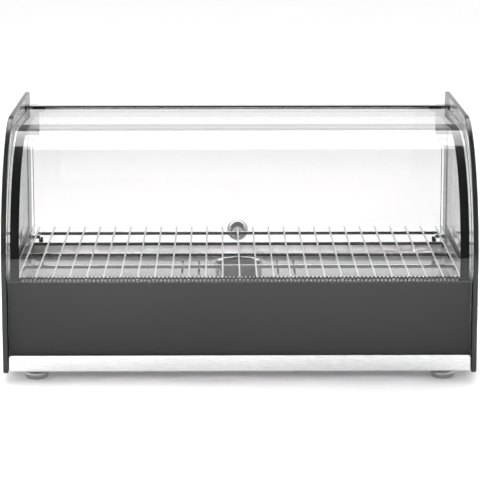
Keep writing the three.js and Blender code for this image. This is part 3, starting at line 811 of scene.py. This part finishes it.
def wire_rack():
    """Long wires welded across five rods whose ends turn down."""
    bm = bmesh.new()
    rod_half, hook, bend_radius = 260.9, RACK_LOW.z + 0.2, 3.2
    for d in ROD_DEPTHS:
        centre = (0, d, ROD_HEIGHT)
        left, right = ((x, d, hook) for x in (-rod_half, rod_half))
        line = [left, *bend((-rod_half, d, ROD_HEIGHT), left, centre, bend_radius)]
        line += [*bend((rod_half, d, ROD_HEIGHT), centre, right, bend_radius), right]
        tube(bm, line, ROD_RADIUS, 16)
    front, rear = RACK_LOW.y + 0.4, RACK_HIGH.y - 0.4
    for k in range(WIRE_COUNT):
        x = WIRE_PITCH * (k - (WIRE_COUNT - 1) / 2)
        tube(bm, [(x, front, WIRE_HEIGHT), (x, rear, WIRE_HEIGHT)], WIRE_RADIUS, 12)
        for d in ROD_DEPTHS:
            weld(bm, x, d, ROD_HEIGHT + ROD_RADIUS - 0.15)
    make_piece("wire_rack_wires", bm, [WIRE], "wire_rack", "rack")


def weld(bm, x, d, h):
    """A small flattened bead where a wire is welded to a rod."""
    levels = ((-0.5, 1.7), (0.25, 1.9), (0.75, 1.3))
    rings = [ring(bm, "z", circle((x, d), spread, 10), h + level) for level, spread in levels]
    skin(bm, rings)
    bm.faces.new(rings[-1])


def water_cup():
    """A spun cup with a soft bottom corner and a rolled rim."""
    profile = [(0, 0.4), (20, 0.4), (22, 0), (25.4, 0)]
    profile += arc((25.4, 3.6), 3.6, -80, 0, 6)
    profile += [(29, 18.4)] + arc((31.2, 18.4), 2.2, 180, 100, 6)
    profile += [(31.6, 20.6), (32.4, 20.5), (33, 21.1), (32.7, 21.8), (31.6, 22), (30.0, 21.9)]
    profile += arc((30.2, 19.2), 2.6, 110, 180, 6)
    profile += [(27.5, 4.4)] + arc((24.7, 4.4), 2.8, 0, -90, 6) + [(0, 1.6)]
    bm = lathe(bmesh.new(), "z", (0, CUP_DEPTH), profile, 96, base=DECK_TOP + 0.3)
    make_piece("water_cup_spun", bm, [CUP_STEEL], "water_cup", "cup")


# ---- Rear door ----
def rear_door():
    lo, hi = DOOR_LOW, DOOR_HIGH
    centre = (0, KNOB_HEIGHT)
    outline = rounded_rect(lo.x, hi.x, lo.z, hi.z, 2.5)
    bm = plate(bmesh.new(), "y", [outline, circle(centre, 3.4, 32)], lo.y, hi.y, 0.6, (0, 1, 1))
    make_piece("door_glass_pane", bm, [DOOR_CLEAR, EDGE], "door_glass", "door")
    for side, sign in SIDES.items():
        hinge_clamp(f"hinge_clamp_{side}", sign)
    door_knob(centre)

    low, high = cabinet_box("door_knob_washer")
    hole, rim = 3, 8
    profile = [(hole, low.y), (rim - 0.4, low.y), (rim, low.y + 0.3), (rim, high.y), (hole, high.y)]
    bm = lathe(bmesh.new(), "y", centre, [*profile, profile[0]], 40)
    make_piece("door_knob_washer_ring", bm, [WASHER], "door_knob_washer", "door")

    low, high = cabinet_box("door_knob_screw")
    bm = socket_screw(centre, low.y, high.y - low.y)
    make_piece("door_knob_screw_head", bm, [CHROME], "door_knob_screw", "door")


def door_knob(centre):
    """A ball on a short neck and a flat foot."""
    low, high = cabinet_box("door_knob")
    front, back = low.y, high.y
    ball, neck = 14, 6.4
    middle = back - ball
    opening = math.degrees(math.asin(neck / ball))
    profile = [(2.9, front + 8), (2.9, front), (7.6, front), (8, front + 0.4), (8, front + 1.2)]
    profile += [(7.4, front + 1.7), (neck, front + 2.2)]
    for k in range(33):
        a = math.radians(180 - opening - (180 - opening) * k / 32)
        profile.append((ball * math.sin(a), middle + ball * math.cos(a)))
    bm = lathe(bmesh.new(), "y", centre, profile, 64)
    make_piece("door_knob_ball", bm, [KNOB], "door_knob", "door")


def socket_screw(centre, tip, length):
    """A domed head with a hexagon socket, from its top at tip, and a shank."""
    radius, tall, shank = 5.2, 2.6, 2.5
    shoulder = tall * 0.6
    dome = [(radius, tall), (radius, shoulder)]
    for k in range(1, 6):
        a = math.radians(18 * k)
        dome.append((radius * 0.45 + radius * 0.55 * math.cos(a), shoulder * (1 - math.sin(a))))
    bm = lathe(bmesh.new(), "y", centre, [(shank, length), (shank, tall), *dome], 40, base=tip)
    sides, steps = 6, 24
    top = ring(bm, "y", circle(centre, dome[-1][0], steps), tip)
    mouth, floor_edge = (circle(centre, radius * share, sides) for share in (0.42, 0.36))
    hexes = [
        ring(bm, "y", loop, tip + deep)
        for loop, deep in ((mouth, 0.05), (mouth, tall * 0.55), (floor_edge, shoulder))
    ]
    per_side = steps // sides
    for k in range(steps):
        j = (k + 1) % steps
        a, b = hexes[0][k // per_side % sides], hexes[0][(k + 1) // per_side % sides]
        bm.faces.new((top[k], top[j], b, a) if a is not b else (top[k], top[j], a))
    skin(bm, hexes)
    bm.faces.new(hexes[-1])
    return bm


def hinge_clamp(name, sign):
    """A slotted strap over the door's edge, ending in a round barrel with the pivot pin."""
    pivot_d, pivot_h = PIVOT
    inner, wall, outer = 258.8, DOOR_HALF + 0.4, 270.3
    half, slot_half, edge = 4.6, 2.8, 0.4
    bottom = pivot_h - 44
    bm = bmesh.new()

    def block(x0, x1, corners, low, high):
        """A part of the strap from x0 out to x1, with the radii of its inner and outer lower corners."""
        start, end = sorted((sign * x0, sign * x1))
        outline = rounded_rect(start, end, bottom, pivot_h - 3, (*corners[::sign], edge, edge))
        plate(bm, "y", [outline], pivot_d + low, pivot_d + high, edge)

    for low, high in ((-half, -slot_half), (slot_half, half)):
        block(inner, wall, (4.5, edge), low, high)
    block(wall, outer, (edge, 1.4), -half, half)
    barrel, below = 3.5, pivot_h - 5.4
    section = arc(PIVOT, barrel, 0, 180, 20) + [(pivot_d - barrel, below), (pivot_d + barrel, below)]
    plate(bm, "x", [section], *sorted((sign * inner, sign * outer)), edge)
    pin_end, screw_x = 276, 264
    pin = [(PIN_RADIUS, outer - 1), (PIN_RADIUS, pin_end - 0.4), (PIN_RADIUS - 0.4, pin_end), (0, pin_end)]
    lathe(bm, "x", PIVOT, [(r, sign * x) for r, x in pin], 24)
    profile = [(2.6, -0.3), (2.6, 0.25), (2.3, 0.4), (1.3, 0.4), (1.2, -0.2), (0, -0.2)]
    for h in (bottom + 10, bottom + 28):
        lathe(bm, "y", (sign * screw_x, h), profile, 24, base=pivot_d + half)
    make_piece(f"{name}_strap", bm, [CLAMP], name, "door")


# ---- Feet ----
def feet():
    for end in ENDS:
        for side in SIDES:
            foot, pad = f"foot_{end}_{side}", f"foot_pad_{end}_{side}"
            low, high = cabinet_box(foot)
            centre = ((low.x + high.x) / 2, (low.y + high.y) / 2)
            rim, z = (high.x - low.x) / 2, low.z
            recess, stem = 10.1, 3
            profile = [(0, z + 1.5), (recess, z + 1.5), (recess, z + 0.3), (recess + 0.3, z), (11.4, z)]
            profile += [(12.2, z + 0.2), (12.9, z + 0.9), (13.6, z + 2.2), (14.0, z + 3.6), (rim, z + 4.8)]
            profile += [(rim, -4.2), (rim - 0.3, -3.2), (rim - 1, -2.2), (rim - 2, -1.8), (6.4, -1.4)]
            profile += [(6, -1), (6, 0.5), (stem, 0.5), (stem, high.z - 0.6), (2.5, high.z), (0, high.z)]
            bm = lathe(bmesh.new(), "z", centre, profile, 64)
            make_piece(f"{foot}_disc", bm, [FOOT], foot)
            low, high = cabinet_box(pad)
            rim = (high.x - low.x) / 2
            profile = [(0, low.z + 0.4), (4, low.z + 0.4), (5, low.z), (rim - 0.4, low.z), (rim, low.z + 0.4)]
            profile += [(rim, high.z - 0.2), (rim - 0.3, high.z), (0, high.z)]
            bm = lathe(bmesh.new(), "z", centre, profile, 48)
            make_piece(f"{pad}_disc", bm, [RUBBER], pad)


# ---- Heaters ----
def heaters():
    """A tube for each end of the deck, bent back on itself in a half circle."""
    radius, steps = 4, 18
    for end in ENDS:
        name = f"heater_{end}"
        low, high = cabinet_box(name)
        z = (low.z + high.z) / 2
        d0, d1 = low.y + radius, high.y - radius
        turn, middle = (d1 - d0) / 2, (d0 + d1) / 2
        far = high.x - radius - turn
        line = [(low.x, d0, z)]
        for k in range(steps + 1):
            a = math.pi * k / steps
            line.append((far + turn * math.sin(a), middle - turn * math.cos(a), z))
        line.append((low.x, d1, z))
        make_piece(f"{name}_tube", tube(bmesh.new(), line, radius, 16), [ZINC], name)


# ---- Controls on the rear panel ----
def lettering(bm, words, size, spot, back, material):
    """Flat figures standing on a face that looks to +d, read from behind the case."""
    curve = bpy.data.curves.new("figures", "FONT")
    curve.body = words
    curve.size = size * MM
    curve.extrude = 0.04 * MM
    curve.align_x = curve.align_y = "CENTER"
    holder = bpy.data.objects.new("figures", curve)
    bpy.context.scene.collection.objects.link(holder)
    bpy.context.view_layer.update()
    mesh = bpy.data.meshes.new_from_object(holder)
    face_back = Matrix.Rotation(math.pi, 4, "Z") @ Matrix.Rotation(math.pi / 2, 4, "X")
    mesh.transform(Matrix.Translation(place(spot[0], back, spot[1])) @ face_back)
    first = len(bm.faces)
    bm.from_mesh(mesh)
    bm.faces.ensure_lookup_table()
    for face in bm.faces[first:]:
        face.material_index = material
    bpy.data.objects.remove(holder)
    bpy.data.curves.remove(curve)
    bpy.data.meshes.remove(mesh)


def dial_ring():
    """The plate behind the knob, with its ticks and figures."""
    low, high = cabinet_box("thermostat_dial_ring")
    centre = (DIAL_X, CONTROL_Z)
    hole, rim = 5, 24
    profile = [(hole, low.y), (rim - 0.6, low.y), (rim, low.y + 0.4), (rim - 0.4, high.y), (hole, high.y)]
    bm = lathe(bmesh.new(), "y", centre, [*profile, profile[0]], 96)
    # The knob's pointer rests at the top of the dial and turns clockwise seen from behind.
    for k in range(28):
        angle = math.radians(90 + 10 * k)
        reach, half = (20.4, 0.26) if k % 3 == 0 else (19.8, 0.16)
        tick(bm, centre, angle, 18.8, reach, half, high.y)
    figures, reach = ("0", "30", "45", "60", "75", "90"), 22
    for k, words in enumerate(figures):
        angle = math.radians(90 + 54 * k)
        spot = (centre[0] + reach * math.cos(angle), centre[1] + reach * math.sin(angle))
        lettering(bm, words, 2.4, spot, high.y + 0.03, 1)
    make_piece("dial_ring_plate", bm, [RAIL, DARK_MARK], "thermostat_dial_ring")


def thermostat_knob():
    """A fluted knob on a flange, with a raised pointer that has a white line."""
    low, high = cabinet_box("thermostat_knob")
    base, end = low.y, high.y - 0.6
    x, z = centre = (DIAL_X, CONTROL_Z)
    profile = (
        (3.3, base + 10.4, 0), (3.3, base, 0), (17.6, base, 0), (18, base + 0.4, 0), (18, base + 2.4, 0),
        (17.4, base + 3.1, 0), (14.9, base + 4, 0), (14.5, base + 4.8, 0.45), (13.7, base + 15.4, 0.45),
        (13.3, base + 16.6, 0.2), (12.4, end, 0), (11.2, end, 0), (10.8, end - 0.5, 0),
    )
    bm = bmesh.new()
    bm.faces.new(ribbed(bm, centre, profile, 36, 4, 1)[-1])
    pointer = rounded_rect(x - 1.2, x + 1.2, z + 7.4, z + 15.4, 0.5, 3)
    plate(bm, "y", [pointer], base + 4, end + 0.55, 0.25)
    mark = rounded_rect(x - 0.5, x + 0.5, z + 8, z + 14.8, 0.4, 3)
    plate(bm, "y", [mark], end + 0.3, end + 0.6, 0.05, (1, 1, 1))
    make_piece("thermostat_knob_cap", bm, [PLASTIC, MARK], "thermostat_knob", "dial")


def tick(bm, centre, angle, r0, r1, half, back):
    """A flat printed line that points out from the dial's centre."""
    along = Vector((math.cos(angle), math.sin(angle)))
    across = Vector((-math.sin(angle), math.cos(angle)))
    corners = [along * r0 - across * half, along * r1 - across * half]
    corners += [along * r1 + across * half, along * r0 + across * half]
    film_patch(bm, lambda u, v: (centre[0] + u, back + 0.04, centre[1] + v), corners, 1)


def rocker_face(h):
    """How far the rocker's hollow face stands out at height h from its middle."""
    return 3.4 + 2.9 * (h / 10.0) ** 2


def rocker_switch():
    low, high = cabinet_box("switch_housing")
    x, z = SWITCH_X, CONTROL_Z
    half_x, half_z = (high.x - low.x) / 2, (high.z - low.z) / 2
    top = high.y
    inside = REAR_LOW.y + 7 - 0.3  # 0.3 mm short of the rear sheet's inner face
    bm = bmesh.new()
    opening = rounded_rect(x - 7.2, x + 7.2, z - 11.5, z + 11.5, 0.6, 3)
    bezel = rounded_rect(x - half_x, x + half_x, z - half_z, z + half_z, 1.6, 5)
    plate(bm, "y", [bezel, opening], top - 2, top, 0.55)
    body = rounded_rect(x - 9, x + 9, z - 13, z + 13, 0.8, 3)
    plate(bm, "y", [body, opening], inside - 6, top - 1.9, 0.2)
    plate(bm, "y", [body], inside - 20, inside - 6.2, 0.4)
    for sign in SIDES.values():
        blade = rounded_rect(*sorted((x + sign * 4, x + sign * 4.9)), z - 8, z - 3, 0.3, 2)
        plate(bm, "y", [blade], inside - 28, inside - 19.6, 0.15, (1, 1, 1))
    make_piece("switch_bezel", bm, [PLASTIC, BRASS], "switch_housing")

    lo, hi = cabinet_box("switch_rocker")
    tilt = math.radians(-7)
    origin = Vector((top - 2 - 3, z))  # depth and height of the rocker's axis

    def tilted(points):
        c, s = math.cos(tilt), math.sin(tilt)
        return [(origin.x + d * c - h * s, origin.y + d * s + h * c) for d, h in points]

    heights = [-10.0 + 20.0 * k / 12 for k in range(13)]
    face = [(rocker_face(h), h) for h in heights]
    section = [(-3, 4), (-3, -4), (2.5, -10.1), *face, (2.5, 10.1)]
    bm = plate(bmesh.new(), "x", [tilted(section)], lo.x, hi.x, 0.35)
    rocker_marks(bm, tilted)
    make_piece("switch_rocker_cap", bm, [PLASTIC, MARK], "switch_rocker", "rocker")


def rocker_marks(bm, tilted):
    """A bar on one end of the rocker and a ring on the other."""

    def on_face(u, h):
        d, z = tilted([(rocker_face(h) + 0.06, h)])[0]
        return SWITCH_X + u, d, z

    away, line, bar_half, radius = 6.2, 0.45, 2.0, 1.6
    bar = rounded_rect(-line, line, away - bar_half, away + bar_half, 0.3, 2)
    film_patch(bm, on_face, bar, 1)
    circles = [circle((0, -away), r, 24) for r in (radius, radius - line)]
    skin(bm, [[bm.verts.new(place(*on_face(u, v))) for u, v in loop] for loop in circles], 1)


def pilot_lamp():
    """A black ring with a low red dome."""
    back = cabinet_box("pilot_lamp_lens")[0].y
    centre, dome, rim = (LAMP_X, CONTROL_Z), 5.3, 7.5
    profile = [(dome, 0), (7.2, 0), (rim, 0.3), (rim, 1.1), (7.1, 1.5), (5.9, 1.6), (dome, 1.2), (dome, 0)]
    bm = lathe(bmesh.new(), "y", centre, profile, 48, base=back)
    profile = [(0, 0), (dome, 0), (dome, 1.6)]
    for k in range(1, 7):
        a = math.radians(12 * k)
        profile.append((dome * math.cos(a), 1.6 + 2.3 * math.sin(a)))
    profile += [(1.6, 3.7), (0, 3.4)]
    lathe(bm, "y", centre, profile, 48, 1, back)
    make_piece("pilot_lamp_cap", bm, [PLASTIC, LENS], "pilot_lamp_lens")


def cable_gland():
    """A threaded stem through the rear panel, a hexagon and a ribbed cap, all with the cord's hole."""
    back = cabinet_box("cable_gland")[0].y
    centre, hole, stem = (GLAND_X, CONTROL_Z), 4, 8
    outside = REAR_HIGH.y + 0.3
    bm = bmesh.new()
    profile = [(hole, outside + 4), (hole, back), (7.4, back), (stem, back + 0.8), (stem, outside)]
    lathe(bm, "y", centre, profile, 48)
    for k in range(5):
        lathe(bm, "y", centre, [(7.95, 0), (stem, 0.2), (7.95, 0.8)], 48, base=back + 1.4 + 1.5 * k)
    plate(bm, "y", [circle(centre, 11.5, 6), circle(centre, hole, 32)], outside, outside + 5, 0.5)
    profile = (
        (9.3, 4.6, 0), (9.6, 5.4, 0.5), (9.9, 11, 0.5), (9.2, 13.2, 0.3), (7.6, 16.6, 0), (6.6, 18, 0),
        (4.9, 18, 0), (4.1, 16.6, 0), (hole, 4, 0),
    )
    ribbed(bm, centre, [(radius, outside + along, deep) for radius, along, deep in profile], 14, 6, -1)
    make_piece("cable_gland_body", bm, [PLASTIC], "cable_gland")


# ---- CAD nodes kept as they are, with a better material ----
def kept_nodes():
    finishes = {
        "base_tray": BRUSHED,
        "insulation_board": BOARD,
        "temperature_bulb": BRASS,
        "thermostat_body": ZINC,
        "pilot_lamp_body": PLASTIC,
        "terminal_block": NYLON,
        "cable_gland_nut": PLASTIC,
    }
    finishes |= {f"foot_nut_{end}_{side}": ZINC for end in ENDS for side in SIDES}
    for name, material in finishes.items():
        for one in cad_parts[name].material_slots:
            one.material = material


# ---- Studio: a world of soft light by direction, three soft lamps, a pale floor with painted light and shade, a card and the camera ----
# Lengths are metres from here on.
# The world's light, at angles in degrees above the horizon behind the case.
WORLD_BANDS = (
    (0, 0.3), (9, 0.28), (32.5, 0.32), (34, 4.0), (50, 4.5), (61.5, 5.0), (63.5, 0.1), (140, 0.05),
    (180, 0.05),
)
WORLD_PEAK = 5.0  # the brightest band; the world's colour ramp holds shares of it
# Each lamp's name, place, target, size, power in watts and spread in degrees.
LAMPS = (
    ("key", (-1.5, -2.2, 2.2), (-0.5, -0.7, 0), (1.6, 1.6), 20, 180),
    ("inside", (-0.1, -2.6, 1.25), (0, 0.16, 0.1), (0.8, 0.2), 1.5, 13),
    ("fill", (0.6, 0.2, 3.4), (0, 0.6, 0), (3, 3), 24, 180),
)
FLOOR_HALF = 30
SHADOW_FOOTPRINT = (0.262, 0.18)  # half sizes of the painted shadow under the case
SHADOW_FADE = (0, 0.04)  # the span past the footprint over which the painted shadow fades
# the floor's glow inside the painted shadow under the case
SHADOW_GLOW = 0.1
LIGHT_POOL_GLOW = (0.66, 0.4)  # a painted pool of light on the floor in front of the case, left and right
GLOW_ACROSS = (-0.2, 0.35)  # where in x the painted pool of light goes from left to right
BACK_GLOW = 0.3
GLOW_AWAY = (-0.15, 0.2)  # where in y the painted pool of light goes over to the back glow
CARD_Y, CARD_HALF, CARD_TOP = 1.5, 4.0, 0.545
CARD_LIGHT = 1.15
CAMERA_SPOT = (-0.0230, -2.6985, 0.6697)
CAMERA_DOWN, CAMERA_LEFT = 11.25, -0.525  # degrees that it looks below level and to the left
CAMERA_LENS, CAMERA_SENSOR, CAMERA_REACH = 165.75, 36, 100


def studio_world():
    """Light by the angle above the horizon behind the case; the camera itself sees plain white."""
    world = bpy.data.worlds.new("studio")
    bpy.context.scene.world = world
    s = Shader(world, "OutputWorld")
    split = s.join("SeparateXYZ", s.node("TexCoord").outputs["Generated"])
    angle = s.join("Math", split.outputs["Z"], split.outputs["Y"], operation="ARCTAN2")
    share = s.join("Math", angle.outputs[0], operation="DIVIDE")
    share.inputs[1].default_value = math.pi
    ramp = s.join("ValToRGB", share.outputs[0])
    elements = ramp.color_ramp.elements
    elements[0].position, elements[1].position = 0, 1
    while len(elements) < len(WORLD_BANDS):
        elements.new(0.5)
    for element, (degrees, level) in zip(elements, WORLD_BANDS):
        element.position = degrees / 180
        element.color = (level / WORLD_PEAK,) * 3 + (1,)
    sky = s.fill(s.join("Background", ramp.outputs["Color"]), Strength=WORLD_PEAK)
    seen = s.fill(s.node("Background"), Color=(1, 1, 1, 1))
    camera_ray = s.node("LightPath").outputs["Is Camera Ray"]
    s.finish(s.join("MixShader", camera_ray, sky.outputs[0], seen.outputs[0]))


def soft_light(name, spot, target, size, power, spread):
    data = bpy.data.lights.new(name, "AREA")
    data.shape = "RECTANGLE"
    data.size, data.size_y = size
    data.energy = power
    data.spread = math.radians(spread)
    lamp = bpy.data.objects.new(name, data)
    lamp.location = spot
    lamp.rotation_euler = (Vector(target) - Vector(spot)).to_track_quat("-Z", "Y").to_euler()
    lamp.visible_glossy = False
    bpy.context.scene.collection.objects.link(lamp)


def stage_object(name, bm, material):
    """An object of the studio; its glow isn't sampled as a lamp."""
    material.cycles.emission_sampling = "NONE"
    obj = new_object(name, bm, [material])
    return obj


def backdrop():
    """A low white card behind the case, which the roof and the deck mirror and the camera doesn't see."""
    bm = bmesh.new()
    rows = []
    for k in range(5):
        z = CARD_TOP * k / 4
        rows.append([bm.verts.new((x, CARD_Y, z)) for x in (-CARD_HALF, 0, CARD_HALF)])
    for a, b in zip(rows, rows[1:]):
        for k in range(2):
            bm.faces.new((a[k], a[k + 1], b[k + 1], b[k]))
    s = Shader(bpy.data.materials.new("studio_card"))
    white = s.between(s.noise(2, 2), grey(0.97), grey(1.0))
    glow = s.fill(s.join("Emission", white), Strength=CARD_LIGHT)
    card = stage_object("studio_card", bm, s.finish(glow))
    card.visible_camera = False
    card.visible_diffuse = False
    card.visible_shadow = False


def floor():
    """A matt floor that glows, with a painted pool of light in front on the left and a painted shadow under
    the case.
    """
    bm = bmesh.new()
    bmesh.ops.create_grid(bm, x_segments=8, y_segments=8, size=FLOOR_HALF)
    s = Shader(bpy.data.materials.new("studio_floor"))
    pale = s.between(s.noise(3, 2), grey(0.86), grey(0.88))
    matt = s.fill(s.join("BsdfDiffuse", pale), Roughness=0.3)
    spot = s.coordinates()
    split = s.join("SeparateXYZ", spot)
    # Brighter in front on the left: a painted pool of light.
    across = s.span(split.outputs["X"], *LIGHT_POOL_GLOW, *GLOW_ACROSS, "SMOOTHSTEP")
    away = s.span(split.outputs["Y"], 0, BACK_GLOW, *GLOW_AWAY, "SMOOTHSTEP")
    s.link(across, away.node.inputs["To Min"])
    # The glow drops low inside the case's footprint: a painted shadow.
    beside = s.join("VectorMath", spot, operation="ABSOLUTE")
    beyond = s.join("VectorMath", beside.outputs[0], operation="SUBTRACT")
    beyond.inputs[1].default_value = (*SHADOW_FOOTPRINT, 0)
    outside = s.join("VectorMath", beyond.outputs[0], operation="MAXIMUM")
    distance = s.join("VectorMath", outside.outputs[0], operation="LENGTH")
    level = s.span(distance.outputs["Value"], SHADOW_GLOW, 0, *SHADOW_FADE, "SMOOTHSTEP")
    s.link(away, level.node.inputs["To Max"])
    glow = s.node("Emission")
    s.link(level, glow.inputs["Strength"])
    stage_object("studio_floor", bm, s.finish(s.join("AddShader", matt.outputs[0], glow.outputs[0])))


def camera():
    data = bpy.data.cameras.new("camera")
    data.sensor_width = CAMERA_SENSOR
    data.lens = CAMERA_LENS
    data.clip_end = CAMERA_REACH
    obj = bpy.data.objects.new("camera", data)
    obj.location = CAMERA_SPOT
    obj.rotation_euler = (math.radians(90 - CAMERA_DOWN), 0, math.radians(CAMERA_LEFT))
    bpy.context.scene.collection.objects.link(obj)
    bpy.context.scene.camera = obj


camera()
studio_world()
for lamp in LAMPS:
    soft_light(*lamp)
floor()
backdrop()
bpy.context.scene.view_settings.view_transform = "Standard"

side_panels()
front_glass()
front_print()
rear_rail()
front_strip()
rear_panel()
heated_deck()
rack_studs()
wire_rack()
water_cup()
rear_door()
feet()
heaters()
dial_ring()
thermostat_knob()
rocker_switch()
pilot_lamp()
cable_gland()
kept_nodes()
